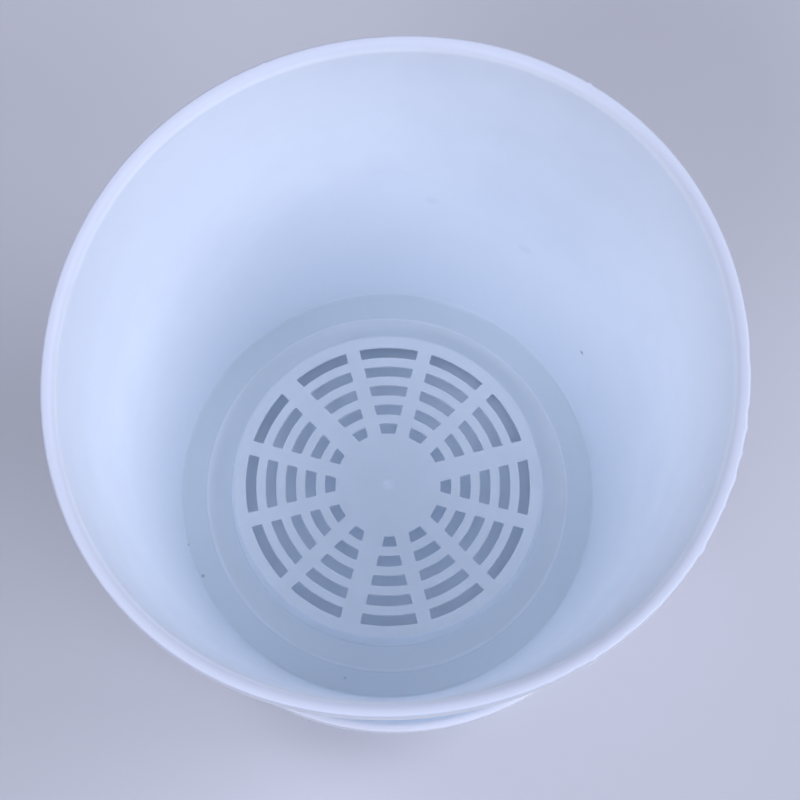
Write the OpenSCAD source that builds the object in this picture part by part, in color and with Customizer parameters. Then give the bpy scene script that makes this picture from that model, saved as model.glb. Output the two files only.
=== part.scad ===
// White plastic plant pot with a lift-out drainage grid, standing in its saucer.
// Millimetres. The origin is on the ground, at the centre of the saucer's underside, with +Z up.

/* [Pot] */
// Outside diameter of the pot, over its rolled lip
pot_rim_d = 239; // [220:1:260]
// Height of the pot, from its foot to the top of its lip
pot_h = 209.4; // [150:0.2:260]
// Inside diameter of the pot where the line of its wall meets the floor
pot_floor_d = 176.4; // [168:0.2:190]
// Thickness of the pot's wall
pot_wall_t = 1.5; // [1:0.1:2.5]
// Thickness of the pot's floor ring
pot_floor_t = 1.8; // [1.2:0.1:3]
// Radius of the fillet between the pot's floor and its wall, inside
pot_fillet_r = 2; // [1:0.1:6]
// Height of the foot ring under the pot's floor
pot_foot_h = 3; // [2:0.1:6]
// Width of the foot ring, measured outward
pot_foot_w = 3; // [2:0.1:5]
// Width of each drain gap in the foot ring
foot_gap_w = 8; // [5:0.5:15]
// How much of the foot ring's height each drain gap takes
foot_gap_share = 0.8; // [0.4:0.05:0.9]
// Number of drain gaps in the foot ring
foot_gaps = 6; // [3:1:10]

/* [Pot lip] */
// Thickness of the rolled lip
pot_lip_t = 1.3; // [1:0.1:1.8]
// Width of the groove inside the lip, between the wall and the skirt
pot_groove_w = 2.5; // [1.2:0.1:3.5]
// Radius of the lip's outer edge, where the wide roll from the wall turns down to the skirt
pot_lip_edge_r = 0.9; // [0.5:0.1:1.5]
// Height of the lip's skirt below that edge
pot_skirt_h = 8.4; // [6:0.1:12]

/* [Drainage grid] */
// Width of the floor that stays bare between the grid's flange and the pot's wall
flange_gap_w = 10.8; // [9:0.1:13]
// Width of the grid's flange
flange_w = 10.8; // [8:0.1:12]
// Thickness of the grid's flange
flange_t = 1; // [0.8:0.1:3]
// Height of the flange's outer edge, below its slope
flange_edge_h = 0.4; // [0.2:0.1:0.7]
// Width of the flange's slope down to its outer edge
flange_slope_w = 1.6; // [0.5:0.1:3]
// Height of the grid's top face above its flange
grid_rise = 12.8; // [8:0.2:20]
// How much smaller the grid's top is in radius than the foot of its side
grid_draft = 1.4; // [0.5:0.1:3]
// Thickness of the slotted top
grid_t = 1.2; // [1:0.1:2.5]
// Thickness of the grid's side and of the ring that centres it
grid_side_t = 1.4; // [1:0.1:2.5]
// Radius of the grid's upper edge
grid_edge_r = 0.8; // [0.3:0.1:1]
// Clearance between the centring ring and the hole in the pot's floor
grid_fit_gap = 0.4; // [0.3:0.05:1]
// Diameter of the small moulding mark at the grid's centre
gate_d = 2.4; // [1:0.1:5]
// Height of the small moulding mark
gate_h = 0.4; // [0.2:0.1:0.8]

/* [Slots] */
// Number of rings of slots
slot_rings = 5; // [3:1:5]
// Width of each slot
slot_w = 4.4; // [3.5:0.1:4.8]
// Width of the land between two rings of slots
land_w = 3.95; // [3:0.05:4.5]
// Width of the plain band round the outermost slots
edge_land_w = 5.2; // [3:0.1:7]
// Width of a narrow spoke
spoke_w = 6; // [3:0.1:6.5]
// Width of a wide spoke
wide_spoke_w = 8.6; // [6:0.1:9.5]
// Number of wide spokes
wide_spokes = 3; // [2:1:3]
// Number of narrow spokes between two wide ones
spokes_between = 3; // [1:1:3]
// Angle of the first wide spoke, from +X
spoke_angle = 19.4; // [0:0.1:90]

/* [Saucer] */
// Height of the saucer
saucer_h = 38; // [20:0.5:60]
// Thickness of the saucer's wall
saucer_wall_t = 1.6; // [1:0.1:2.5]
// Thickness of the saucer's floor
saucer_floor_t = 1.6; // [1:0.1:3]
// Clearance between the pot's foot and the start of the saucer's fillet
saucer_fit_gap = 2; // [0.5:0.1:10]
// Radius of the fillet between the saucer's floor and its wall, inside
saucer_fillet_r = 5; // [2:0.1:10]
// How many degrees further than the pot's wall the saucer's wall leans out
saucer_splay = 4; // [1:0.5:15]
// Thickness of the saucer's rolled lip
saucer_lip_t = 1.2; // [1:0.1:1.8]
// Width of the groove inside the saucer's lip
saucer_groove_w = 1.2; // [1:0.1:3]
// Radius of the saucer's outer edge, where its lip turns down
saucer_lip_edge_r = 0.8; // [0.5:0.1:1.5]
// Height of the saucer's skirt below that edge
saucer_skirt_h = 4.7; // [3:0.1:8]

/* [Hidden] */
$fn = 180;
plastic = "#d9e0f5";
arc_steps = 10;
overrun = 1;
full_turn = 360;
half_turn = 180;
quarter_turn = 90;

// Radii and heights of the pot
pot_roll_r = pot_wall_t + pot_groove_w + pot_lip_t - pot_lip_edge_r;
pot_roll_x = pot_rim_d / 2 - pot_lip_edge_r;
pot_foot_z = saucer_floor_t;
pot_base_z = pot_foot_z + pot_foot_h;
pot_floor_z = pot_base_z + pot_floor_t;
pot_top_z = pot_foot_z + pot_h;
pot_floor_r = pot_floor_d / 2;
pot_roll_z = pot_top_z - pot_roll_r;
pot_lean = lean_to_roll(pot_floor_r, pot_floor_z, pot_roll_x, pot_roll_z, pot_roll_r);
pot_foot_r = wall_x(pot_floor_r, pot_floor_z, pot_lean, pot_foot_z) + pot_wall_t / cos(pot_lean);

// Radii and heights of the grid, which stands on the pot's floor
flange_r = pot_floor_r - flange_gap_w;
side_r = flange_r - flange_w;
grid_top_r = side_r - grid_draft;
floor_hole_r = side_r + grid_fit_gap;
flange_z = pot_floor_z + flange_t;
grid_z = flange_z + grid_rise;
slot_pitch = slot_w + land_w;
hub_r = grid_top_r - edge_land_w - slot_rings * slot_w - (slot_rings - 1) * land_w;
spokes = wide_spokes * (spokes_between + 1);

// Radii of the saucer, which the pot's foot stands in
saucer_roll_r = saucer_wall_t + saucer_groove_w + saucer_lip_t - saucer_lip_edge_r;
saucer_roll_z = saucer_h - saucer_roll_r;
saucer_lean = pot_lean + saucer_splay;
saucer_floor_r = pot_foot_r + saucer_fit_gap + fillet_run(saucer_fillet_r, saucer_lean);
saucer_roll_x = roll_x(saucer_floor_r, saucer_floor_t, saucer_lean, saucer_roll_z, saucer_roll_r);

// Angle from upright of the line from the corner (x, z) that touches a lip's roll on its inner side
function lean_to_roll(x, z, at_x, at_z, roll_r) =
    let (dx = at_x - x, dz = at_z - z)
    atan2(dx, dz) - asin(roll_r / norm([dx, dz]));

// Radius at height at_z of a wall that leaves the corner (x, z) at the given lean
function wall_x(x, z, lean, at_z) = x + (at_z - z) * tan(lean);

// How far a fillet's foot lies inside the sharp corner between a floor and a leaning wall
function fillet_run(r, lean) = r * (1 - sin(lean)) / cos(lean);

// Distance from the axis of the middle of a roll that touches the wall from the corner (x, z)
function roll_x(x, z, lean, at_z, roll_r) =
    wall_x(x, z, lean, at_z + roll_r * sin(lean)) + roll_r * cos(lean);

// Points of an arc about (x, z), from one angle to another
function arc(x, z, r, from, to) =
    [for (i = [0:arc_steps])
        let (a = from + (to - from) * i / arc_steps)
        [x + r * cos(a), z + r * sin(a)]];

// Fillet from a floor up to the wall that leaves the sharp corner (x, z)
function fillet(x, z, r, lean) = arc(x - fillet_run(r, lean), z + r, r, -quarter_turn, -lean);

// Rolled lip about (x, z), from the wall's inner face over its top and down the skirt, then up
// into the groove and back to the wall's outer face
function rolled_lip(x, z, roll_r, edge_r, wall_t, lip_t, skirt_h, lean) =
    let (
        edge_z = z + roll_r - edge_r,
        groove_r = roll_r - wall_t,
        groove_from = quarter_turn + asin((lip_t - edge_r) / groove_r)
    )
    concat(
        arc(x, z, roll_r, half_turn - lean, quarter_turn),
        rest(arc(x, edge_z, edge_r, quarter_turn, 0)),
        [[x + edge_r, edge_z - skirt_h], [x + edge_r - lip_t, edge_z - skirt_h]],
        arc(x, z, groove_r, groove_from, half_turn - lean)
    );

// Dish that stands on the ground and catches the water
module saucer() {
    outer_x = saucer_floor_r + saucer_wall_t / cos(saucer_lean);
    ground_x = wall_x(outer_x, saucer_floor_t, saucer_lean, 0);
    outer_r = saucer_fillet_r + saucer_wall_t;
    outline = concat(
        [[0, saucer_floor_t]],
        fillet(saucer_floor_r, saucer_floor_t, saucer_fillet_r, saucer_lean),
        rolled_lip(
            saucer_roll_x, saucer_roll_z, saucer_roll_r, saucer_lip_edge_r,
            saucer_wall_t, saucer_lip_t, saucer_skirt_h, saucer_lean
        ),
        reversed(fillet(ground_x, 0, outer_r, saucer_lean)),
        [[0, 0]]
    );
    color(plastic) rotate_extrude() polygon(outline);
}

// Flared pot with a hole in its floor that the grid covers
module pot() {
    outline = concat(
        [[floor_hole_r, pot_base_z], [floor_hole_r, pot_floor_z]],
        fillet(pot_floor_r, pot_floor_z, pot_fillet_r, pot_lean),
        rolled_lip(
            pot_roll_x, pot_roll_z, pot_roll_r, pot_lip_edge_r,
            pot_wall_t, pot_lip_t, pot_skirt_h, pot_lean
        ),
        [
            [pot_foot_r, pot_foot_z],
            [pot_foot_r - pot_foot_w, pot_foot_z],
            [pot_foot_r - pot_foot_w, pot_base_z]
        ]
    );
    color(plastic) difference() {
        rotate_extrude() polygon(outline);
        for (i = [0:foot_gaps - 1]) rotate(spoke_angle + i * full_turn / foot_gaps) foot_gap();
    }
}

// Drain gap through the foot ring, cut from below
module foot_gap() {
    length = pot_foot_w + 2 * overrun;
    height = pot_foot_h * foot_gap_share + overrun;
    translate([pot_foot_r - length + overrun, -foot_gap_w / 2, pot_foot_z - overrun])
        cube([length, foot_gap_w, height]);
}

// Raised slotted disc with a flange that rests on the pot's floor and a ring that centres it
module drainage_grid() {
    inner_r = side_r - grid_side_t;
    outline = concat(
        [[0, grid_z - grid_t], [0, grid_z]],
        arc(grid_top_r - grid_edge_r, grid_z - grid_edge_r, grid_edge_r, quarter_turn, 0),
        [[side_r, flange_z]],
        [
            [flange_r - flange_slope_w, flange_z],
            [flange_r, pot_floor_z + flange_edge_h],
            [flange_r, pot_floor_z],
            [side_r, pot_floor_z],
            [side_r, pot_base_z],
            [inner_r, pot_base_z],
            [inner_r, flange_z],
            [grid_top_r - grid_side_t, grid_z - grid_t]
        ]
    );
    color(plastic) {
        difference() {
            rotate_extrude() polygon(outline);
            translate([0, 0, grid_z - grid_t - overrun])
                linear_extrude(grid_t + 2 * overrun) slots();
        }
        translate([0, 0, grid_z]) cylinder(d = gate_d, h = gate_h);
    }
}

// Plan of all the slots: rings cut through by the spokes
module slots() {
    difference() {
        for (i = [0:slot_rings - 1]) slot_ring(hub_r + i * slot_pitch);
        for (i = [0:spokes - 1]) rotate(spoke_angle + i * full_turn / spokes) spoke(i);
    }
}

// One full ring, as wide as a slot
module slot_ring(inner_r) {
    difference() {
        circle(r = inner_r + slot_w);
        circle(r = inner_r);
    }
}

// One spoke from the centre outwards, with parallel sides
module spoke(i) {
    width = i % (spokes_between + 1) == 0 ? wide_spoke_w : spoke_w;
    translate([0, -width / 2]) square([grid_top_r, width]);
}

function reversed(points) = [for (i = [len(points) - 1:-1:0]) points[i]];

function rest(points) = [for (i = [1:len(points) - 1]) points[i]];

saucer();
pot();
drainage_grid();
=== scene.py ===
"""Dresses a white moulded plant pot, its lift-out drainage grid and its saucer.

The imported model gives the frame. The pieces' sizes are in millimetres until they reach a mesh, and
the camera's and the studio's are in metres.
"""

import logging
import math
from dataclasses import dataclass, field
from enum import Enum

import bmesh
import bpy
from mathutils import Matrix, Vector, noise


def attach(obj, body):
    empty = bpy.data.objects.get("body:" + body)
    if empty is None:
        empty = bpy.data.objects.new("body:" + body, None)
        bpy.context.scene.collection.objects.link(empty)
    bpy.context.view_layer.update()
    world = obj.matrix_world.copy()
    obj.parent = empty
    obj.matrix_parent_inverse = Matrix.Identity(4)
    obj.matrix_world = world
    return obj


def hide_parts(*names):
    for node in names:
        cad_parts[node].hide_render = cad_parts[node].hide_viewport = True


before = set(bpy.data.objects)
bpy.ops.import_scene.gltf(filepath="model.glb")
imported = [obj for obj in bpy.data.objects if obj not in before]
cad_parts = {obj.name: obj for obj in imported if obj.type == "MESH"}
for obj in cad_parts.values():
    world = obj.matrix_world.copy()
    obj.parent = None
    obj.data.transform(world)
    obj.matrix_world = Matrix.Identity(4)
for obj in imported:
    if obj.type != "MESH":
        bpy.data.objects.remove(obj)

LOG = logging.getLogger("plant_pot")
MM = 0.001
FULL_TURN = 360.0
HALF_TURN = 180.0
# Points closer than this are one, in mm
JOIN_MM = 0.004
# Coordinates closer than this are equal, in metres
SAME_M = 1e-6
# Angles past which an edge is eased as a slot's own, and past which it is shaded as sharp
SLOT_EDGE_RAD = 1.0
SHARP_DEG = 40.0
# Radii in mm of the small rounds that ease a moulding's edges
EASE_FINE = 0.3
EASE_LIP = 0.35
LIGHT_BOUNCES = 16
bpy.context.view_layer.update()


class Body(Enum):
    """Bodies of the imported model, which the pieces ride on."""

    SAUCER = "saucer"
    POT = "pot"
    GRID = "drainage_grid"


class FinishSlot(Enum):
    """Names of the material slots."""

    SAUCER = "saucer_plastic"
    POT = "pot_plastic"
    GRID = "grid_plastic"


def linear_colour(hex_code: str) -> tuple[float, float, float, float]:
    """Turns an sRGB hex code into linear light.

    Args:
        hex_code: Colour such as "#d9e0f5".

    Returns:
        Red, green, blue and an alpha of 1, in linear light.
    """
    channels = [int(hex_code[i : i + 2], 16) / 255 for i in (1, 3, 5)]
    light = [c / 12.92 if c <= 0.04045 else ((c + 0.055) / 1.055) ** 2.4 for c in channels]
    return (light[0], light[1], light[2], 1.0)


def add_node(
    tree: bpy.types.NodeTree, kind: str, links: dict | None = None, **settings: object
) -> bpy.types.Node:
    """Adds a node with its settings, input values and links.

    Args:
        tree: Node tree that gets the node.
        kind: Blender's type name of the node.
        links: Value or output socket for each named or numbered input.
        **settings: Properties of the node itself.

    Returns:
        The new node.
    """
    node = tree.nodes.new(kind)
    for name, value in settings.items():
        setattr(node, name, value)
    for name, value in (links or {}).items():
        socket = node.inputs[name]
        if isinstance(value, bpy.types.NodeSocket):
            tree.links.new(value, socket)
        else:
            socket.default_value = value
    return node


@dataclass(frozen=True)
class Speck:
    """Small mark on the plastic, such as dirt on a wall or the painted highlight on the grid's gate.

    Args:
        place: Middle of the mark in mm.
        reach: Radius in mm at which it has faded out.
        depth: Share of the surface's colour that it hides.
        colour: Colour of the mark.
        core: Share of the reach over which it is full.
    """

    place: tuple[float, float, float]
    reach: float
    depth: float
    colour: str = "#5a6478"
    core: float = 0.25


@dataclass(frozen=True)
class PaintedLightZone:
    """Part of a piece whose colour changes with height, painted light and shade.

    Args:
        colour: Colour of the zone.
        start_z: Height in mm where the main colour starts to turn to it.
        full_z: Height in mm from which the zone's colour is full, above or below the start.
    """

    colour: str
    start_z: float
    full_z: float


@dataclass(frozen=True)
class MouldedPolypropylene:
    """Injection-moulded polypropylene: cool white and satin, with the fine grain of a steel mould.

    Args:
        name: Name of the material.
        colour: Main colour.
        cloud_colour: Colour of the slightly greyer patches where the melt cooled slower.
        painted_light_zones: Parts whose colour changes with height, painted light and shade, such as
            a lip painted greyer.
        roughness: Middle roughness of the satin surface.
        grain_mm: Size of the mould's grain, drawn coarser than the real 0.1 mm so that it shows.
        grain_depth_mm: Height of that grain.
        flow_mm: Size of the soft flow ripples.
        flow_depth_mm: Height of those ripples.
        specks: Small marks on this piece.
        cloud_range: Noise values at which the patches start and are full.
        cloud_detail: Octaves of the patches' noise.
        cloud_fineness: Share that each finer octave of it keeps.
        grain_detail: Octaves of the grain's noise.
        sheen_range: Noise values at which the surface is glossiest and dullest.
        sheen_change: How far the roughness goes either side of its middle.
        ior: Refractive index of polypropylene.
    """

    name: str
    colour: str = "#edf3f9"
    cloud_colour: str = "#e9eff6"
    painted_light_zones: tuple[PaintedLightZone, ...] = ()
    roughness: float = 0.42
    grain_mm: float = 0.7
    grain_depth_mm: float = 0.012
    flow_mm: float = 38.0
    flow_depth_mm: float = 0.05
    specks: tuple[Speck, ...] = ()
    cloud_range: tuple[float, float] = (0.35, 0.65)
    cloud_detail: float = 3.0
    cloud_fineness: float = 0.55
    grain_detail: float = 2.0
    sheen_range: tuple[float, float] = (0.3, 0.7)
    sheen_change: float = 0.05
    ior: float = 1.49

    def material(self) -> bpy.types.Material:
        """Builds the material's nodes.

        Returns:
            The finished material.
        """
        made = bpy.data.materials.new(self.name)
        made.use_nodes = True
        tree = made.node_tree
        tree.nodes.clear()
        place = add_node(tree, "ShaderNodeTexCoord").outputs["Object"]
        clouds = add_node(
            tree,
            "ShaderNodeTexNoise",
            {
                "Vector": place,
                "Scale": 1 / (self.flow_mm * MM),
                "Detail": self.cloud_detail,
                "Roughness": self.cloud_fineness,
            },
        )
        cloud_share = add_node(
            tree,
            "ShaderNodeMapRange",
            {
                "Value": clouds.outputs["Fac"],
                "From Min": self.cloud_range[0],
                "From Max": self.cloud_range[1],
            },
        )
        colour = self._mixed(
            tree, cloud_share.outputs["Result"], linear_colour(self.colour), self.cloud_colour
        )
        for zone in self.painted_light_zones:
            colour = self._mixed(tree, self._painted_light_share(tree, place, zone), colour, zone.colour)
        for speck in self.specks:
            colour = self._mixed(tree, self._speck_share(tree, place, speck), colour, speck.colour)
        grain = add_node(
            tree,
            "ShaderNodeTexNoise",
            {
                "Vector": place,
                "Scale": 1 / (self.grain_mm * MM),
                "Detail": self.grain_detail,
            },
        )
        sheen = add_node(
            tree,
            "ShaderNodeMapRange",
            {
                "Value": clouds.outputs["Fac"],
                "From Min": self.sheen_range[0],
                "From Max": self.sheen_range[1],
                "To Min": self.roughness - self.sheen_change,
                "To Max": self.roughness + self.sheen_change,
            },
        )
        flow_bump = add_node(
            tree,
            "ShaderNodeBump",
            {"Height": clouds.outputs["Fac"], "Distance": self.flow_depth_mm * MM, "Strength": 1.0},
        )
        grain_bump = add_node(
            tree,
            "ShaderNodeBump",
            {
                "Height": grain.outputs["Fac"],
                "Distance": self.grain_depth_mm * MM,
                "Strength": 1.0,
                "Normal": flow_bump.outputs["Normal"],
            },
        )
        plastic = add_node(
            tree,
            "ShaderNodeBsdfPrincipled",
            {
                "Base Color": colour,
                "Roughness": sheen.outputs["Result"],
                "IOR": self.ior,
                "Normal": grain_bump.outputs["Normal"],
            },
        )
        add_node(tree, "ShaderNodeOutputMaterial", {"Surface": plastic.outputs["BSDF"]})
        return made

    def _mixed(
        self,
        tree: bpy.types.NodeTree,
        share: bpy.types.NodeSocket,
        below: bpy.types.NodeSocket | tuple[float, float, float, float],
        above: str,
    ) -> bpy.types.NodeSocket:
        """Lays one colour over another.

        Args:
            tree: Node tree of the material.
            share: Share of the upper colour, from 0 to 1.
            below: Lower colour, as a socket or in linear light.
            above: Upper colour.

        Returns:
            Socket that gives the mixed colour.
        """
        links = {0: share, 6: below, 7: linear_colour(above)}
        return add_node(tree, "ShaderNodeMix", links, data_type="RGBA").outputs[2]

    def _painted_light_share(
        self, tree: bpy.types.NodeTree, place: bpy.types.NodeSocket, zone: PaintedLightZone
    ) -> bpy.types.NodeSocket:
        """Gives a zone's share of the colour, which changes with height.

        Args:
            tree: Node tree of the material.
            place: Object coordinates.
            zone: The zone.

        Returns:
            Socket that gives the share.
        """
        height = add_node(tree, "ShaderNodeSeparateXYZ", {0: place}).outputs["Z"]
        links = {"Value": height, "From Min": zone.start_z * MM, "From Max": zone.full_z * MM}
        fade = add_node(tree, "ShaderNodeMapRange", links, interpolation_type="SMOOTHSTEP")
        return fade.outputs["Result"]

    def _speck_share(
        self, tree: bpy.types.NodeTree, place: bpy.types.NodeSocket, speck: Speck
    ) -> bpy.types.NodeSocket:
        """Gives the share of the colour that a mark hides.

        Args:
            tree: Node tree of the material.
            place: Object coordinates.
            speck: The mark.

        Returns:
            Socket that gives the share.
        """
        away = add_node(
            tree,
            "ShaderNodeVectorMath",
            {0: place, 1: tuple(c * MM for c in speck.place)},
            operation="DISTANCE",
        )
        links = {
            "Value": away.outputs["Value"],
            "From Min": speck.reach * speck.core * MM,
            "From Max": speck.reach * MM,
            "To Min": speck.depth,
            "To Max": 0.0,
        }
        fade = add_node(tree, "ShaderNodeMapRange", links, interpolation_type="SMOOTHSTEP")
        return fade.outputs["Result"]


@dataclass(frozen=True)
class Corner:
    """One corner of a turned outline.

    Args:
        r: Distance from the axis in mm.
        z: Height in mm.
        round_r: Radius of the rounding in mm, or 0 for a sharp corner.
        steps: Number of faces across the rounding.
    """

    r: float
    z: float
    round_r: float = 0.0
    steps: int = 3


@dataclass(frozen=True)
class Stretch:
    """Part of the turn round the axis.

    Args:
        end: Angle in degrees where it ends.
        step: Angle of one column of faces in degrees.
    """

    end: float
    step: float


def draw_outline(
    mesh: bmesh.types.BMesh, corners: list[Corner], closed: bool, row_mm: float
) -> None:
    """Draws a turned outline in the XZ plane, with its corners rounded by bevels.

    Args:
        mesh: Empty mesh that gets the outline.
        corners: Corners in order.
        closed: Whether the last corner joins the first.
        row_mm: Longest edge left along the outline.
    """
    points = [mesh.verts.new((c.r * MM, 0.0, c.z * MM)) for c in corners]
    pairs = list(zip(points, points[1:]))
    if closed:
        pairs.append((points[-1], points[0]))
    for pair in pairs:
        mesh.edges.new(pair)
    spots = [Vector((c.r, c.z)) for c in corners]
    for i, corner in enumerate(corners):
        if corner.round_r <= 0:
            continue
        before = (spots[i - 1] - spots[i]).normalized()
        after = (spots[(i + 1) % len(spots)] - spots[i]).normalized()
        tangent = corner.round_r / math.tan(before.angle(after) / 2)
        bmesh.ops.bevel(
            mesh,
            geom=[points[i]],
            affect="VERTICES",
            offset=tangent * MM,
            offset_type="OFFSET",
            segments=corner.steps,
            profile=0.5,
            material=-1,
        )
    bmesh.ops.remove_doubles(mesh, verts=mesh.verts, dist=JOIN_MM * MM)
    for edge in list(mesh.edges):
        cuts = math.ceil(edge.calc_length() / (row_mm * MM)) - 1
        if cuts > 0:
            bmesh.ops.subdivide_edges(mesh, edges=[edge], cuts=cuts)


def turn_outline(mesh: bmesh.types.BMesh, start: float, stretches: list[Stretch]) -> None:
    """Turns the outline once round the axis and closes the seam.

    Args:
        mesh: Mesh that holds nothing but the outline.
        start: Angle in degrees where the turn starts.
        stretches: Stretches of the turn in order, of which the last ends a full turn later.
    """
    turned = Matrix.Rotation(math.radians(start), 3, "Z")
    bmesh.ops.rotate(mesh, verts=mesh.verts, cent=(0, 0, 0), matrix=turned)
    edge_ring = list(mesh.verts) + list(mesh.edges)
    at = start
    for stretch in stretches:
        steps = max(1, round((stretch.end - at) / stretch.step))
        made = bmesh.ops.spin(
            mesh,
            geom=edge_ring,
            cent=(0, 0, 0),
            axis=(0, 0, 1),
            angle=math.radians(stretch.end - at),
            steps=steps,
            use_merge=False,
            use_duplicate=False,
        )
        edge_ring = made["geom_last"]
        at = stretch.end
    bmesh.ops.remove_doubles(mesh, verts=mesh.verts, dist=JOIN_MM * MM)


def finish_piece(
    mesh: bmesh.types.BMesh,
    name: str,
    finish: MouldedPolypropylene,
    body: Body,
) -> bpy.types.Object:
    """Makes a closed mesh a piece that stands for the node of its body.

    Args:
        mesh: The closed mesh, which is freed.
        name: Name of the piece.
        finish: Finish of the piece.
        body: Body that the piece rides on, whose node it replaces.

    Returns:
        The piece.
    """
    bmesh.ops.recalc_face_normals(mesh, faces=mesh.faces)
    if mesh.calc_volume(signed=True) < 0:
        bmesh.ops.reverse_faces(mesh, faces=mesh.faces)
    for face in mesh.faces:
        face.smooth = True
    data = bpy.data.meshes.new(name)
    mesh.to_mesh(data)
    mesh.free()
    data.set_sharp_from_angle(angle=math.radians(SHARP_DEG))
    data.materials.append(finish.material())
    piece = bpy.data.objects.new(name, data)
    bpy.context.scene.collection.objects.link(piece)
    # Flat faces keep their own shading, so that eased edges and corners draw no streaks on them
    weighted = piece.modifiers.new("flat_shading", "WEIGHTED_NORMAL")
    weighted.keep_sharp = True
    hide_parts(body.value)
    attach(piece, body.value)
    return piece


def lean_to_roll(corner: tuple[float, float], middle: tuple[float, float], roll_r: float) -> float:
    """Finds the lean of a wall that leaves a corner and touches a lip's roll on its inner side.

    Args:
        corner: Radius and height of the corner in mm.
        middle: Radius and height of the roll's middle in mm.
        roll_r: Radius of the roll in mm.

    Returns:
        Angle from upright in radians.
    """
    out, rise = middle[0] - corner[0], middle[1] - corner[1]
    return math.atan2(out, rise) - math.asin(roll_r / math.hypot(out, rise))


@dataclass(frozen=True)
class Wave:
    """Wave round a rim that has sprung out of round.

    Args:
        order: Number of waves in a full turn; 0 widens the rim and 1 shifts it.
        size: Height in mm.
        angle: Direction in degrees of its crest.
    """

    order: int
    size: float
    angle: float

    def rise(self, degrees: float) -> float:
        """Height in mm at an angle."""
        return self.size * math.cos(math.radians(self.order * (degrees - self.angle)))


def axis_r(vert: bmesh.types.BMVert) -> float:
    """Distance of a vertex from the axis in mm."""
    return math.hypot(vert.co.x, vert.co.y) / MM


def axis_angle(vert: bmesh.types.BMVert) -> float:
    """Angle of a vertex round the axis in degrees, from +X."""
    return math.degrees(math.atan2(vert.co.y, vert.co.x))


def clamped(share: float) -> float:
    """Keeps a share between 0 and 1."""
    return min(1.0, max(0.0, share))


def ease_edges(
    mesh: bmesh.types.BMesh, edges: list[bmesh.types.BMEdge], radius: float, steps: int
) -> None:
    """Rounds edges of a mesh.

    Args:
        mesh: Mesh that the edges belong to.
        edges: Edges to round.
        radius: Width of the rounding in mm, to each side of the edge.
        steps: Number of faces across it.
    """
    bmesh.ops.bevel(
        mesh,
        geom=edges,
        affect="EDGES",
        offset=radius * MM,
        offset_type="OFFSET",
        segments=steps,
        profile=0.5,
        material=-1,
    )


def move_out(vert: bmesh.types.BMVert, growth: float) -> None:
    """Moves a vertex away from the axis.

    Args:
        vert: The vertex.
        growth: How far it moves in mm.
    """
    r = axis_r(vert)
    scale = (r + growth) / r
    vert.co.x *= scale
    vert.co.y *= scale


def spring_rim(
    mesh: bmesh.types.BMesh, waves: tuple[Wave, ...], low_z: float, high_z: float
) -> None:
    """Springs a rim out of round, less and less down to the floor.

    Args:
        mesh: Mesh of the turned piece.
        waves: Waves of the rim.
        low_z: Height in mm of the floor, where nothing moves.
        high_z: Height in mm of the rim, where the waves have their full size.
    """
    for vert in mesh.verts:
        above = vert.co.z / MM - low_z
        if above > JOIN_MM:
            rise = sum(wave.rise(axis_angle(vert)) for wave in waves)
            move_out(vert, above / (high_z - low_z) * rise)


@dataclass(frozen=True)
class Bump:
    """Lump or nick on the lip's outer edge.

    Args:
        angle: Its middle, in degrees round the axis from +X.
        width: Width in degrees over which it rises and falls.
        height: Height in mm, negative for a nick.
    """

    angle: float
    width: float
    height: float

    def rise(self, degrees: float) -> float:
        """Height in mm at an angle."""
        away = abs((degrees - self.angle + HALF_TURN) % FULL_TURN - HALF_TURN) / (self.width / 2)
        return self.height * (1 - away * away) ** 2 if away < 1 else 0.0


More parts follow.
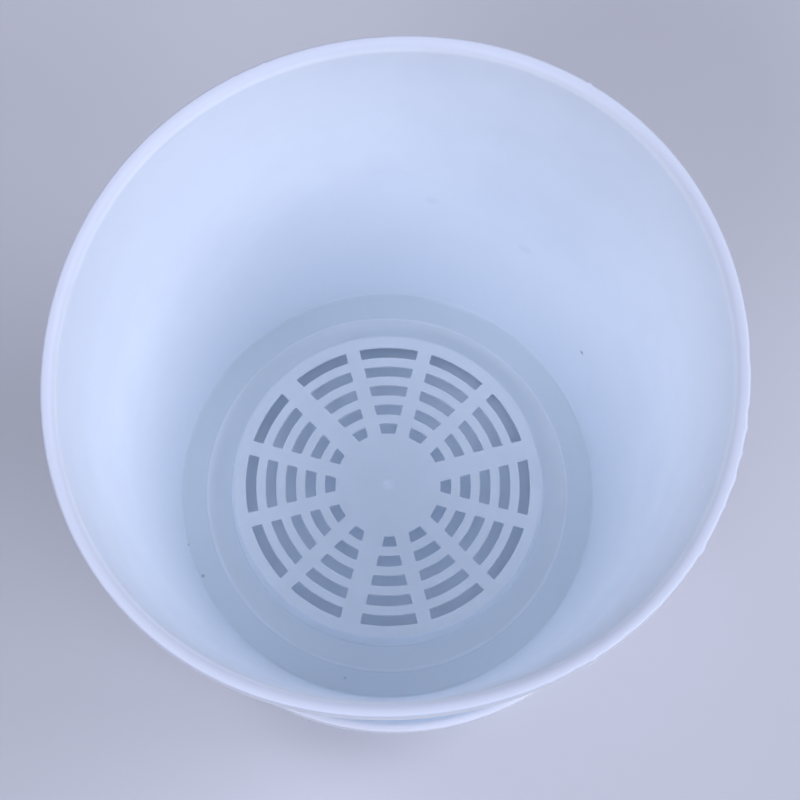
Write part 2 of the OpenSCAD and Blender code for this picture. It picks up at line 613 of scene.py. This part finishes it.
@dataclass
class LippedVessel:
    """Turned vessel whose leaning wall ends in a lip, with a wide round over and a tight one down.

    Args:
        rim_r: Radius over the lip in mm.
        top_z: Height of the lip's top in mm.
        floor_r: Inside radius where the line of the wall meets the floor.
        floor_z: Height of the floor's upper face.
        wall_t: Thickness of the wall.
        fillet_r: Radius of the fillet between the floor and the wall, inside.
        lip_t: Thickness of the lip's skirt.
        groove_w: Width of the groove between the wall and the skirt.
        groove_r: Radius of the groove's end at the wall.
        lip_edge_r: Radius of the tight round.
        skirt_h: Height of the skirt below it.
        row_mm: Longest face along the outline.
        column_deg: Angle of a column of faces.
        rim_waves: How the rim has sprung out of round.
        finish: Finish of the plastic.
    """

    rim_r: float
    top_z: float
    floor_r: float
    floor_z: float
    wall_t: float
    fillet_r: float
    lip_t: float
    groove_w: float
    groove_r: float
    lip_edge_r: float
    skirt_h: float
    row_mm: float
    column_deg: float
    rim_waves: tuple[Wave, ...]
    finish: MouldedPolypropylene

    @property
    def roll_r(self) -> float:
        """Radius of the lip's wide roll."""
        return self.wall_t + self.groove_w + self.lip_t - self.lip_edge_r

    @property
    def lean(self) -> float:
        """Lean of the wall from upright, in radians."""
        middle = (self.rim_r - self.lip_edge_r, self.top_z - self.roll_r)
        return lean_to_roll((self.floor_r, self.floor_z), middle, self.roll_r)

    @property
    def skirt_top(self) -> float:
        """Height where the skirt starts below the tight round."""
        return self.top_z - self.lip_edge_r

    def inner_r(self, z: float) -> float:
        """Radius of the wall's inner face at a height."""
        return self.floor_r + (z - self.floor_z) * math.tan(self.lean)

    def outer_r(self, z: float) -> float:
        """Radius of the wall's outer face at a height."""
        return self.inner_r(z) + self.wall_t / math.cos(self.lean)

    def lip(self, roll_steps: int, rows: tuple[float, ...], groove_steps: int) -> list[Corner]:
        """Gives the lip's corners, from the wide roll over the skirt to the groove's end.

        Args:
            roll_steps: Number of faces across the wide roll.
            rows: Depths in mm of extra rows of faces on the skirt.
            groove_steps: Number of faces across the groove's end.

        Returns:
            The corners in order.
        """
        skirt_z = self.skirt_top - self.skirt_h
        skirt_inner_r = self.rim_r - self.lip_t
        groove_z = self.top_z - self.wall_t
        return [
            Corner(self.inner_r(self.top_z), self.top_z, self.roll_r, roll_steps),
            Corner(self.rim_r, self.top_z, self.lip_edge_r, 5),
            *(Corner(self.rim_r, self.skirt_top - row) for row in rows),
            Corner(self.rim_r, skirt_z, EASE_LIP),
            Corner(skirt_inner_r, skirt_z, EASE_LIP),
            Corner(skirt_inner_r, groove_z, EASE_FINE),
            Corner(self.outer_r(groove_z), groove_z, self.groove_r, groove_steps),
        ]


@dataclass
class Pot(LippedVessel):
    """Flared pot with a rolled lip, a floor ring that the grid covers, and a foot with drain gaps.

    Args:
        base_z: Height in mm of the floor's underside.
        foot_z: Height of the foot's underside, on the saucer's floor.
        foot_w: Width of the foot ring.
        foot_rounds: Radii of the foot's outer edge, inner edge and inner corner.
        hole_r: Radius of the hole under the grid.
        hole_edge_r: Radius that eases the hole's lower edge.
        rough_h: Height on the skirt over which the trimmed edge's roughness fades.
        rough_left: Share of the lumps that is left below that.
        rough_in: How far in from the rim the lumps begin, and over how much they grow.
        gap_w: Width of a drain gap through the foot.
        gap_share: Share of the foot's height that a gap takes.
        gaps: Number of gaps.
        gap_angle: Angle in degrees of the first gap, from +X.
        gap_side_deg: Angle that the side of a gap takes.
        fine_deg: Angles between which the lip is rough and its faces are fine.
        fine_step: Angle of a column of faces there.
        grain: Height in mm and fineness of each layer of the lip's fine roughness.
        bumps: Lumps and nicks that trimming left on the lip, most of them at the right and near.
    """

    rim_r: float = 119.5
    top_z: float = 211.0
    floor_r: float = 88.2
    floor_z: float = 6.4
    wall_t: float = 1.5
    fillet_r: float = 2.0
    lip_t: float = 1.3
    groove_w: float = 2.5
    groove_r: float = 2.0
    lip_edge_r: float = 0.9
    skirt_h: float = 8.4
    row_mm: float = 12.0
    column_deg: float = 1.5
    base_z: float = 4.6
    foot_z: float = 1.6
    foot_w: float = 3.0
    foot_rounds: tuple[float, float, float] = (0.8, 0.6, 0.5)
    hole_r: float = 67.0
    hole_edge_r: float = 0.25
    rough_h: float = 4.0
    rough_left: float = 0.35
    rough_in: tuple[float, float] = (2.2, 1.2)
    gap_w: float = 8.0
    gap_share: float = 0.8
    gaps: int = 6
    gap_angle: float = 19.4
    gap_side_deg: float = 0.25
    fine_deg: tuple[tuple[float, float], ...] = ((57.0, 66.0), (114.0, 127.0), (295.0, 374.0))
    fine_step: float = 0.35
    grain: tuple[tuple[float, float], ...] = ((0.05, 60.0), (0.04, 25.0))
    rim_waves: tuple[Wave, ...] = (
        Wave(0, -0.11, 0.0),
        Wave(1, 0.66, 73.5),
        Wave(2, 2.01, 45.0),
        Wave(3, 0.43, -26.6),
        Wave(4, 0.70, -39.2),
    )
    bumps: tuple[Bump, ...] = (
        Bump(-60.2, 1.0, 0.22),
        Bump(-56.0, 2.6, -0.22),
        Bump(-52.5, 1.3, 0.42),
        Bump(-49.8, 1.4, 0.22),
        Bump(-45.4, 4.0, -0.22),
        Bump(-38.4, 1.0, 0.20),
        Bump(-32.3, 1.1, -0.32),
        Bump(-27.2, 3.0, 0.52),
        Bump(-19.1, 1.1, 0.26),
        Bump(-14.6, 3.6, 0.36),
        Bump(-10.0, 2.2, 0.30),
        Bump(-5.6, 2.2, 0.38),
        Bump(-2.8, 2.2, -0.34),
        Bump(6.6, 5.0, -0.28),
        Bump(61.2, 0.9, 0.50),
        Bump(117.8, 0.8, 0.36),
        Bump(123.6, 0.8, 0.36),
    )
    finish: MouldedPolypropylene = field(
        default_factory=lambda: MouldedPolypropylene(
            name="moulded_polypropylene_pot",
            # Painted light and shade: the wall is painted lighter low down, painted light that lifts
            # the deep wall; the floor is painted darker, painted shade; and the lip is painted
            # greyer, painted shade that tones it down against the walls
            painted_light_zones=(
                PaintedLightZone("#f2f8fd", 120.0, 20.0),
                PaintedLightZone("#dce5eb", 7.6, 6.6),
                PaintedLightZone("#d9e0ed", 208.6, 210.2),
            ),
            specks=(
                Speck((75.3, 56.1, 49.5), 1.5, 0.6),
                Speck((8.2, 99.9, 97.6), 4.0, 0.06),
                Speck((46.8, 86.6, 84.4), 4.5, 0.06),
                Speck((-82.5, -30.3, 6.6), 0.9, 0.4),
                Speck((-74.8, -43.0, 6.6), 1.1, 0.5),
                Speck((-51.9, -95.7, 163.6), 0.9, 0.5),
                Speck((-11.3, -81.0, 6.4), 0.8, 0.35),
            ),
        )
    )

    @property
    def half_gap(self) -> float:
        """Half the angle of a drain gap at the foot, in degrees."""
        return math.degrees(math.asin(self.gap_w / 2 / self.outer_r(self.foot_z)))

    def outline(self) -> list[Corner]:
        """Gives the pot's outline, from the hole over the inside, the lip and the wall to the foot.

        Returns:
            The corners in order, of which the last joins the first.
        """
        foot_r = self.outer_r(self.foot_z)
        outer_round, inner_round, corner_round = self.foot_rounds
        return [
            Corner(self.hole_r, self.base_z, self.hole_edge_r),
            Corner(self.hole_r, self.floor_z, EASE_FINE),
            Corner(self.floor_r, self.floor_z, self.fillet_r, 5),
            *self.lip(10, (self.rough_h / 4, self.rough_h / 2, self.rough_h), 5),
            Corner(foot_r, self.foot_z, outer_round),
            Corner(foot_r - self.foot_w, self.foot_z, inner_round),
            Corner(foot_r - self.foot_w, self.base_z, corner_round),
        ]

    def stretches(self, start: float) -> list[Stretch]:
        """Gives the stretches of the turn, fine on the rough lip, with columns at each gap's sides.

        Args:
            start: Angle in degrees where the turn starts, which is the middle of a drain gap.

        Returns:
            The stretches in order.
        """
        marks = [start + FULL_TURN]
        sides = (self.half_gap, self.half_gap - self.gap_side_deg)
        for i in range(self.gaps + 1):
            middle = start + i * FULL_TURN / self.gaps
            marks += [middle + sign * side for side in sides for sign in (-1, 1)]
        for span in self.fine_deg:
            marks += span
        marks = sorted({round(m, 4) for m in marks if start < m <= start + FULL_TURN})
        result = []
        at = start
        for mark in marks:
            middle = (at + mark) / 2
            rough = any(low < middle < high for low, high in self.fine_deg)
            result.append(Stretch(mark, self.fine_step if rough else self.column_deg))
            at = mark
        return result

    def build(self) -> bpy.types.Object:
        """Builds the pot and dresses it.

        Returns:
            The pot's piece.
        """
        mesh = bmesh.new()
        draw_outline(mesh, self.outline(), closed=True, row_mm=self.row_mm)
        turn_outline(mesh, self.gap_angle, self.stretches(self.gap_angle))
        self._cut_gaps(mesh)
        self._roughen_lip(mesh)
        spring_rim(mesh, self.rim_waves, self.floor_z, self.top_z)
        return finish_piece(mesh, "pot_shell", self.finish, Body.POT)

    def _cut_gaps(self, mesh: bmesh.types.BMesh) -> None:
        """Lifts the foot's lower rows where a drain gap goes through it.

        Args:
            mesh: Mesh of the turned pot.
        """
        half_gap = self.half_gap - self.gap_side_deg / 2
        gap_top = self.foot_z + (self.base_z - self.foot_z) * self.gap_share
        pitch = FULL_TURN / self.gaps
        for vert in mesh.verts:
            if vert.co.z / MM > gap_top:
                continue
            angle = axis_angle(vert) - self.gap_angle
            from_middle = abs((angle + pitch / 2) % pitch - pitch / 2)
            if from_middle < half_gap:
                vert.co.z = gap_top * MM

    def _roughen_lip(self, mesh: bmesh.types.BMesh) -> None:
        """Raises the lumps and nicks on the lip's outer edge, and lets them fade down the skirt.

        Args:
            mesh: Mesh of the turned pot.
        """
        start, growth = self.rough_in
        for vert in mesh.verts:
            z = vert.co.z / MM
            edge = clamped((axis_r(vert) - self.rim_r + start) / growth)
            if edge > 0:
                near = clamped(1 - (self.skirt_top - z) / self.rough_h) ** 2
                degrees = axis_angle(vert)
                lumps = (self.rough_left + (1 - self.rough_left) * near) * self._lumps(degrees)
                move_out(vert, edge * (lumps + near * self._grain(degrees)))

    def _lumps(self, degrees: float) -> float:
        """Height in mm of the lumps and nicks at an angle."""
        return sum(bump.rise(degrees) for bump in self.bumps)

    def _grain(self, degrees: float) -> float:
        """Height in mm of the trimmed edge's fine roughness at an angle."""
        spot = Vector((math.cos(math.radians(degrees)), math.sin(math.radians(degrees)), 0.0))
        return sum(height * noise.noise(spot * fineness) for height, fineness in self.grain)


@dataclass
class Saucer(LippedVessel):
    """Dish with a leaning wall and a rolled lip, which the pot's foot stands in."""

    rim_r: float = 105.94
    top_z: float = 38.0
    floor_r: float = 95.18
    floor_z: float = 1.6
    wall_t: float = 1.6
    fillet_r: float = 5.0
    lip_t: float = 1.2
    groove_w: float = 1.2
    groove_r: float = 0.7
    lip_edge_r: float = 0.8
    skirt_h: float = 4.7
    row_mm: float = 14.0
    column_deg: float = 1.2
    # The thin dish leans to one side and is a little wider across than along the view
    rim_waves: tuple[Wave, ...] = (Wave(0, 0.55, 0.0), Wave(1, 2.05, 13.8), Wave(2, 0.8, 0.0))
    finish: MouldedPolypropylene = field(
        default_factory=lambda: MouldedPolypropylene(
            name="moulded_polypropylene_saucer",
            colour="#eff5fb",
            cloud_colour="#ebf2f8",
            # The lip is painted greyer and less blue, painted shade and tint for how light falls on
            # it
            painted_light_zones=(PaintedLightZone("#e2e5ee", 35.0, 36.6),),
        )
    )

    def outline(self) -> list[Corner]:
        """Gives the saucer's outline, from its floor's middle over the lip to the middle below.

        Returns:
            The corners in order.
        """
        return [
            Corner(0.0, self.floor_z),
            Corner(self.floor_r, self.floor_z, self.fillet_r, 8),
            *self.lip(8, (), 3),
            Corner(self.outer_r(0.0), 0.0, self.fillet_r + self.wall_t, 8),
            Corner(0.0, 0.0),
        ]

    def build(self) -> bpy.types.Object:
        """Builds the saucer and dresses it.

        Returns:
            The saucer's piece.
        """
        mesh = bmesh.new()
        draw_outline(mesh, self.outline(), closed=False, row_mm=self.row_mm)
        turn_outline(mesh, 0.0, [Stretch(FULL_TURN, self.column_deg)])
        spring_rim(mesh, self.rim_waves, self.floor_z, self.top_z)
        return finish_piece(mesh, "saucer_dish", self.finish, Body.SAUCER)


@dataclass
class DrainageGrid:
    """Raised slotted disc with a flange on the pot's floor and a ring that centres it in the hole.

    Args:
        flange_r: Radius of the flange in mm.
        side_r: Radius of the side's foot and of the centring ring.
        top_r: Radius of the top.
        floor_z: Height of the pot's floor, which the flange lies on.
        base_z: Height of the centring ring's lower edge.
        flange_z: Height of the flange's upper face.
        top_z: Height of the top's upper face.
        plate_t: Thickness of the slotted top.
        side_t: Thickness of the side and of the centring ring.
        flange_taper: Width of the flange's slope down to its edge.
        taper_r: Radius that softens the start of that slope.
        flange_edge_h: Height of the flange's edge below the slope.
        flange_edge_r: Radius that eases the edge's upper corner.
        side_foot_r: Radius of the fillet between the side and the flange.
        edge_r: Radius of the top's edge.
        gate_r: Radius of the gate's mound.
        gate_h: Height of the gate's mound.
        gate_ends: Where the mound's top ends and its slope ends, in shares of its radius.
        gate_round: Radius that softens the mound's corners.
        hub_r: Radius of the plain middle, inside the slots.
        slot_w: Width of a slot.
        land_w: Width of the land between two rings of slots.
        rings: Number of rings of slots.
        spoke_w: Width of a spoke.
        wide_spoke_w: Width of a wide spoke.
        spokes: Number of spokes.
        wide_every: How many spokes there are to one wide one.
        spoke_angle: Angle in degrees of the first wide spoke, from +X.
        slot_columns: Columns of faces across one slot; a spoke has one each side of its middle.
        corner_r: Radius of the slots' corners.
        slot_edge_r: Radius that eases the slots' upper edges.
        spare: Distance in mm that a face's middle may lie off its slot.
        finish: Finish of the plastic.
    """

    flange_r: float = 77.4
    side_r: float = 66.6
    top_r: float = 65.2
    floor_z: float = 6.4
    base_z: float = 4.6
    flange_z: float = 7.4
    top_z: float = 20.2
    plate_t: float = 1.2
    side_t: float = 1.4
    flange_taper: float = 1.6
    taper_r: float = 2.5
    flange_edge_h: float = 0.4
    flange_edge_r: float = 0.2
    side_foot_r: float = 0.5
    edge_r: float = 0.8
    gate_r: float = 1.2
    gate_h: float = 0.3
    gate_ends: tuple[float, float] = (0.6, 1.5)
    gate_round: float = 2.0
    hub_r: float = 22.2
    slot_w: float = 4.4
    land_w: float = 3.95
    rings: int = 5
    spoke_w: float = 6.0
    wide_spoke_w: float = 8.6
    spokes: int = 12
    wide_every: int = 4
    spoke_angle: float = 19.4
    slot_columns: int = 10
    corner_r: float = 0.5
    slot_edge_r: float = 0.2
    spare: float = 0.1
    finish: MouldedPolypropylene = field(
        default_factory=lambda: MouldedPolypropylene(
            name="moulded_polypropylene_grid",
            # The grid is painted a touch greyer than the pot, painted shade for the deep floor that
            # it lies on
            colour="#e4ebf1",
            cloud_colour="#e1e8ee",
            flow_mm=24.0,
            # The side is painted lighter than the top, painted light that lifts the shade on it; the
            # flange's face goes back to a tone a little greyer than the top, and its thin edge is
            # painted lighter, a painted glow where light passes through
            painted_light_zones=(
                PaintedLightZone("#f3f7fb", 20.18, 19.8),
                PaintedLightZone("#e3e9ed", 7.9, 7.45),
                PaintedLightZone("#ecf1f5", 7.38, 7.2),
            ),
            # The gate's mound is painted paler, a painted highlight
            specks=(Speck((0.0, 0.0, 20.4), 3.2, 0.5, "#f7fbff"),),
        )
    )

    @property
    def ring_edges(self) -> list[tuple[float, float]]:
        """Inner and outer radius of each ring of slots."""
        starts = [self.hub_r + i * (self.slot_w + self.land_w) for i in range(self.rings)]
        return [(start, start + self.slot_w) for start in starts]

    @property
    def columns_per_sector(self) -> int:
        """Columns of faces from the middle of a spoke to the middle of the next."""
        return self.slot_columns + 2

    @property
    def columns(self) -> int:
        """Columns of faces in a full turn."""
        return self.spokes * self.columns_per_sector

    @property
    def under_z(self) -> float:
        """Height of the slotted top's underside."""
        return self.top_z - self.plate_t

    def outline(self) -> list[Corner]:
        """Gives the grid's outline, from the middle of its top over the flange to the middle below.

        Returns:
            The corners in order.
        """
        edges = [r for pair in self.ring_edges for r in pair]
        inner_r = self.side_r - self.side_t
        mound_r, slope_r = (self.gate_r * end for end in self.gate_ends)
        return [
            Corner(0.0, self.top_z + self.gate_h),
            Corner(mound_r, self.top_z + self.gate_h, self.gate_round, 4),
            Corner(slope_r, self.top_z, self.gate_round, 4),
            Corner(self.hub_r / 2, self.top_z),
            *(Corner(r, self.top_z) for r in edges),
            Corner(self.top_r, self.top_z, self.edge_r, 4),
            Corner(self.side_r, self.flange_z, self.side_foot_r),
            Corner(self.flange_r - self.flange_taper, self.flange_z, self.taper_r, 4),
            Corner(self.flange_r, self.floor_z + self.flange_edge_h, self.flange_edge_r),
            Corner(self.flange_r, self.floor_z),
            Corner(self.side_r, self.floor_z),
            Corner(self.side_r, self.base_z, EASE_FINE),
            Corner(inner_r, self.base_z, EASE_FINE),
            Corner(inner_r, self.flange_z),
            Corner(self.top_r - self.side_t, self.under_z, EASE_FINE),
            *(Corner(r, self.under_z) for r in reversed(edges)),
            Corner(self.hub_r / 2, self.under_z),
            Corner(0.0, self.under_z),
        ]

    def build(self) -> bpy.types.Object:
        """Builds the grid and dresses it.

        Returns:
            The grid's piece.
        """
        mesh = bmesh.new()
        draw_outline(mesh, self.outline(), closed=False, row_mm=FULL_TURN)
        turn_outline(mesh, 0.0, [Stretch(FULL_TURN, FULL_TURN / self.columns)])
        self._line_up_spokes(mesh)
        self._open_slots(mesh)
        self._ease_slots(mesh)
        return finish_piece(mesh, "slotted_grid", self.finish, Body.GRID)

    def _spoke_deg(self, index: int, r: float) -> float:
        """Half the angle of a spoke in degrees, at a distance from the axis in mm."""
        width = self.wide_spoke_w if index % self.wide_every == 0 else self.spoke_w
        return math.degrees(math.asin(width / 2 / r))

    def _line_up_spokes(self, mesh: bmesh.types.BMesh) -> None:
        """Turns each column so that the spokes' sides run parallel, and marks each vertex's column.

        Args:
            mesh: Mesh of the turned grid.
        """
        layer = mesh.verts.layers.int.new("column")
        inner, outer = self.ring_edges[0][0], self.ring_edges[-1][1]
        sector = FULL_TURN / self.spokes
        for vert in mesh.verts:
            r = axis_r(vert)
            if r < JOIN_MM:
                vert[layer] = -1
                continue
            column = round(axis_angle(vert) / FULL_TURN * self.columns) % self.columns
            vert[layer] = column
            spoke, place = divmod(column, self.columns_per_sector)
            held = min(max(r, inner), outer)
            first = self._spoke_deg(spoke, held)
            last = sector - self._spoke_deg((spoke + 1) % self.spokes, held)
            within = 0.0
            if place > 0:
                within = first + (last - first) * (place - 1) / self.slot_columns
            angle = math.radians(self.spoke_angle + spoke * sector + within)
            vert.co.x = r * MM * math.cos(angle)
            vert.co.y = r * MM * math.sin(angle)

    def _slot_of(
        self, face: bmesh.types.BMFace, layer: bmesh.types.BMLayerItem
    ) -> tuple[int, int] | None:
        """Names the slot that a face of the top lies in.

        Args:
            face: Face of the turned grid.
            layer: Column of each vertex.

        Returns:
            Ring and sector of the slot, or None where the plastic is whole.
        """
        middle = face.calc_center_median() / MM
        if middle.z < self.under_z - self.spare:
            return None
        r = math.hypot(middle.x, middle.y)
        columns = [v[layer] for v in face.verts]
        places = [c % self.columns_per_sector for c in columns]
        sectors = {c // self.columns_per_sector for c in columns}
        if len(sectors) > 1 or min(places) < 1:
            return None
        for ring, (low, high) in enumerate(self.ring_edges):
            # A face's middle lies a little nearer the axis than its edges do
            if low - 3 * self.spare < r < high + self.spare:
                return ring, min(sectors)
        return None

    def _open_slots(self, mesh: bmesh.types.BMesh) -> None:
        """Takes the slots' faces out of the top's two sides and walls each slot.

        Args:
            mesh: Mesh of the turned grid.
        """
        layer = mesh.verts.layers.int["column"]
        slots: dict[tuple[int, int], list[bmesh.types.BMFace]] = {}
        for face in mesh.faces:
            slot = self._slot_of(face, layer)
            if slot is not None:
                slots.setdefault(slot, []).append(face)
        rims = {}
        for slot, faces in slots.items():
            inside = set(faces)
            edges = [e for f in faces for e in f.edges]
            rims[slot] = [e for e in edges if any(g not in inside for g in e.link_faces)]
        for slot, faces in slots.items():
            bmesh.ops.delete(mesh, geom=faces, context="FACES")
            bmesh.ops.bridge_loops(mesh, edges=list(set(rims[slot])))

    def _ease_slots(self, mesh: bmesh.types.BMesh) -> None:
        """Rounds the slots' corners and eases their upper edges.

        Args:
            mesh: Mesh of the grid with open slots.
        """
        top = self.top_z * MM
        slot_low = (self.under_z - self.spare / 2) * MM

        def upright(edge: bmesh.types.BMEdge) -> bool:
            """Whether an edge stands in the slotted top."""
            a, b = edge.verts
            return (a.co - b.co).xy.length < SAME_M and min(a.co.z, b.co.z) > slot_low

        def on_top(edge: bmesh.types.BMEdge) -> bool:
            """Whether an edge lies in the top's upper face."""
            return all(abs(v.co.z - top) < SAME_M for v in edge.verts)

        def bent(edge: bmesh.types.BMEdge) -> bool:
            """Whether an edge turns a corner."""
            return edge.calc_face_angle(0.0) > SLOT_EDGE_RAD

        # Each choice by angle needs fresh normals, or flat edges are eased too and the mesh opens
        bmesh.ops.recalc_face_normals(mesh, faces=mesh.faces)
        mesh.normal_update()
        ease_edges(mesh, [e for e in mesh.edges if upright(e) and bent(e)], self.corner_r, 3)
        bmesh.ops.remove_doubles(mesh, verts=mesh.verts, dist=JOIN_MM * MM)
        mesh.normal_update()
        ease_edges(mesh, [e for e in mesh.edges if on_top(e) and bent(e)], self.slot_edge_r, 2)


@dataclass(frozen=True)
class PhotoCamera:
    """Camera at the photograph's angle, found from the rings of slots.

    Args:
        focal_px: Focal length in pixels of the photograph.
        picture_px: Width of the photograph.
        sensor_mm: Width of the sensor.
        near_m: Distance in metres from which it sees.
        tilt: How far it looks down from level, in radians.
        roll: How far it is turned about its own line of sight, in radians.
        distance: Distance from what it aims at, in metres.
        aim: Point that it aims at, in metres.
    """

    focal_px: float = 2129.03864
    picture_px: float = 800.0
    sensor_mm: float = 36.0
    near_m: float = 0.01
    tilt: float = 1.31877224
    roll: float = 0.0828149586
    distance: float = 0.907245
    aim: tuple[float, float, float] = (0.002047, 0.037133, 0.0202)

    def build(self) -> bpy.types.Object:
        """Makes the camera and hands it to the scene.

        Returns:
            The camera's object.
        """
        look = Vector((0.0, math.cos(self.tilt), -math.sin(self.tilt)))
        side = Vector((1.0, 0.0, 0.0))
        up = side.cross(look)
        right = math.cos(self.roll) * side + math.sin(self.roll) * up
        top = -math.sin(self.roll) * side + math.cos(self.roll) * up
        place = Vector(self.aim) - look * self.distance
        data = bpy.data.cameras.new("photo_camera")
        data.sensor_width = self.sensor_mm
        data.lens = self.focal_px / self.picture_px * self.sensor_mm
        data.clip_start = self.near_m
        camera = bpy.data.objects.new("photo_camera", data)
        turned = Matrix((right, top, -look)).transposed().to_4x4()
        camera.matrix_world = Matrix.Translation(place) @ turned
        bpy.context.scene.collection.objects.link(camera)
        bpy.context.scene.camera = camera
        return camera


@dataclass(frozen=True)
class Lamp:
    """Soft round lamp that faces the pot.

    Args:
        azimuth: Direction in degrees from +X.
        height: Angle in degrees above the floor.
        watts: Power.
    """

    azimuth: float
    height: float
    watts: float


@dataclass(frozen=True)
class Studio:
    """Plain pale floor among soft cool lamps, the stronger ones at the right and at the near left.

    Args:
        floor_half: Half the floor's side in metres.
        floor_colour: Colour of the floor.
        floor_roughness: Roughness of its matt paper.
        fade_from: Distance in metres from the pot where the floor starts to turn into the backdrop.
        fade_to: Distance from which it looks as the backdrop.
        sky_colour: Colour of the faint light from all round.
        sky_strength: Strength of that light.
        backdrop_colour: Colour that the camera and gloss see past the floor.
        lamp_colour: Colour of the lamps.
        lamp_aim: Point in metres that the lamps face.
        lamp_distance: Distance of the lamps from it.
        lamp_size: Width of each lamp.
        lamps: The lamps.
    """

    floor_half: float = 6.0
    floor_colour: str = "#cdced3"
    floor_roughness: float = 0.9
    fade_from: float = 0.7
    fade_to: float = 1.9
    sky_colour: str = "#e8ebff"
    sky_strength: float = 0.03
    backdrop_colour: str = "#c6cbdc"
    lamp_colour: str = "#e8ebff"
    lamp_aim: tuple[float, float, float] = (0.0, 0.0, 0.1)
    lamp_distance: float = 2.4
    lamp_size: float = 1.4
    lamps: tuple[Lamp, ...] = (
        Lamp(-30.0, 40.0, 21.1),
        Lamp(15.0, 40.0, 26.7),
        Lamp(150.0, 40.0, 15.3),
        Lamp(240.0, 45.0, 26.2),
        Lamp(0.0, 90.0, 3.8),
    )

    def build(self) -> None:
        """Builds the floor, the sky and the lamps."""
        self._floor()
        self._sky()
        for number, lamp in enumerate(self.lamps):
            self._lamp(f"soft_lamp_{number}", lamp)

    def _floor(self) -> None:
        """Lays the floor under the saucer, which looks as the backdrop to the camera far away."""
        mesh = bmesh.new()
        bmesh.ops.create_grid(mesh, x_segments=1, y_segments=1, size=self.floor_half)
        data = bpy.data.meshes.new("studio_floor")
        mesh.to_mesh(data)
        mesh.free()
        made = bpy.data.materials.new("matt_studio_paper")
        made.use_nodes = True
        made.cycles.emission_sampling = "NONE"
        tree = made.node_tree
        tree.nodes.clear()
        colour = linear_colour(self.floor_colour)
        surface = {"Base Color": colour, "Roughness": self.floor_roughness}
        paper = add_node(tree, "ShaderNodeBsdfPrincipled", surface)
        glow = {"Color": linear_colour(self.backdrop_colour)}
        backdrop = add_node(tree, "ShaderNodeEmission", glow)
        place = add_node(tree, "ShaderNodeTexCoord").outputs["Object"]
        away = add_node(tree, "ShaderNodeVectorMath", {0: place}, operation="LENGTH")
        reach = {
            "Value": away.outputs["Value"],
            "From Min": self.fade_from,
            "From Max": self.fade_to,
        }
        far = add_node(tree, "ShaderNodeMapRange", reach, interpolation_type="SMOOTHSTEP")
        links = {0: far.outputs["Result"], 1: self._seen(tree)}
        share = add_node(tree, "ShaderNodeMath", links, operation="MULTIPLY")
        links = {0: share.outputs[0], 1: paper.outputs[0], 2: backdrop.outputs[0]}
        mix = add_node(tree, "ShaderNodeMixShader", links)
        add_node(tree, "ShaderNodeOutputMaterial", {"Surface": mix.outputs[0]})
        data.materials.append(made)
        floor = bpy.data.objects.new("studio_floor", data)
        bpy.context.scene.collection.objects.link(floor)

    def _seen(self, tree: bpy.types.NodeTree) -> bpy.types.NodeSocket:
        """Tells the rays that show the backdrop from those that light the scene.

        Args:
            tree: Node tree that gets the nodes.

        Returns:
            Socket that is 1 for what the camera, gloss and glass see, and 0 for light.
        """
        ray = add_node(tree, "ShaderNodeLightPath").outputs
        links = {0: ray["Is Camera Ray"], 1: ray["Is Glossy Ray"]}
        seen = add_node(tree, "ShaderNodeMath", links, operation="ADD")
        links = {0: seen.outputs[0], 1: ray["Is Transmission Ray"]}
        return add_node(tree, "ShaderNodeMath", links, operation="ADD", use_clamp=True).outputs[0]

    def _sky(self) -> None:
        """Lights the scene faintly from all round, and shows a pale backdrop past the floor."""
        world = bpy.data.worlds.new("soft_sky")
        world.use_nodes = True
        tree = world.node_tree
        tree.nodes.clear()
        glow = {"Color": linear_colour(self.sky_colour), "Strength": self.sky_strength}
        sky = add_node(tree, "ShaderNodeBackground", glow)
        glow = {"Color": linear_colour(self.backdrop_colour), "Strength": 1.0}
        backdrop = add_node(tree, "ShaderNodeBackground", glow)
        links = {0: self._seen(tree), 1: sky.outputs[0], 2: backdrop.outputs[0]}
        mix = add_node(tree, "ShaderNodeMixShader", links)
        add_node(tree, "ShaderNodeOutputWorld", {"Surface": mix.outputs[0]})
        bpy.context.scene.world = world

    def _lamp(self, name: str, lamp: Lamp) -> None:
        """Hangs one lamp and turns it to the pot.

        Args:
            name: Name of the lamp's object.
            lamp: Where it hangs and how strong it is.
        """
        data = bpy.data.lights.new(name, "AREA")
        data.shape = "DISK"
        data.size = self.lamp_size
        data.energy = lamp.watts
        data.color = linear_colour(self.lamp_colour)[:3]
        piece = bpy.data.objects.new(name, data)
        azimuth, height = math.radians(lamp.azimuth), math.radians(lamp.height)
        out = math.cos(height)
        away = Vector((math.cos(azimuth) * out, math.sin(azimuth) * out, math.sin(height)))
        piece.location = Vector(self.lamp_aim) + away * self.lamp_distance
        piece.rotation_euler = away.to_track_quat("Z", "Y").to_euler()
        bpy.context.scene.collection.objects.link(piece)


def main() -> None:
    """Builds the camera, the studio and the three pieces in order."""
    logging.basicConfig(level=logging.INFO, format="%(name)s: %(message)s")
    scene = bpy.context.scene
    scene.view_settings.view_transform = "Standard"
    # Light bounces many times between the walls of a white pot before it leaves
    scene.cycles.max_bounces = LIGHT_BOUNCES
    scene.cycles.diffuse_bounces = LIGHT_BOUNCES
    PhotoCamera().build()
    Studio().build()
    for part in (Saucer(), Pot(), DrainageGrid()):
        piece = part.build()
        LOG.info("%s: %d faces", piece.name, len(piece.data.polygons))


if __name__ == "__main__":
    main()
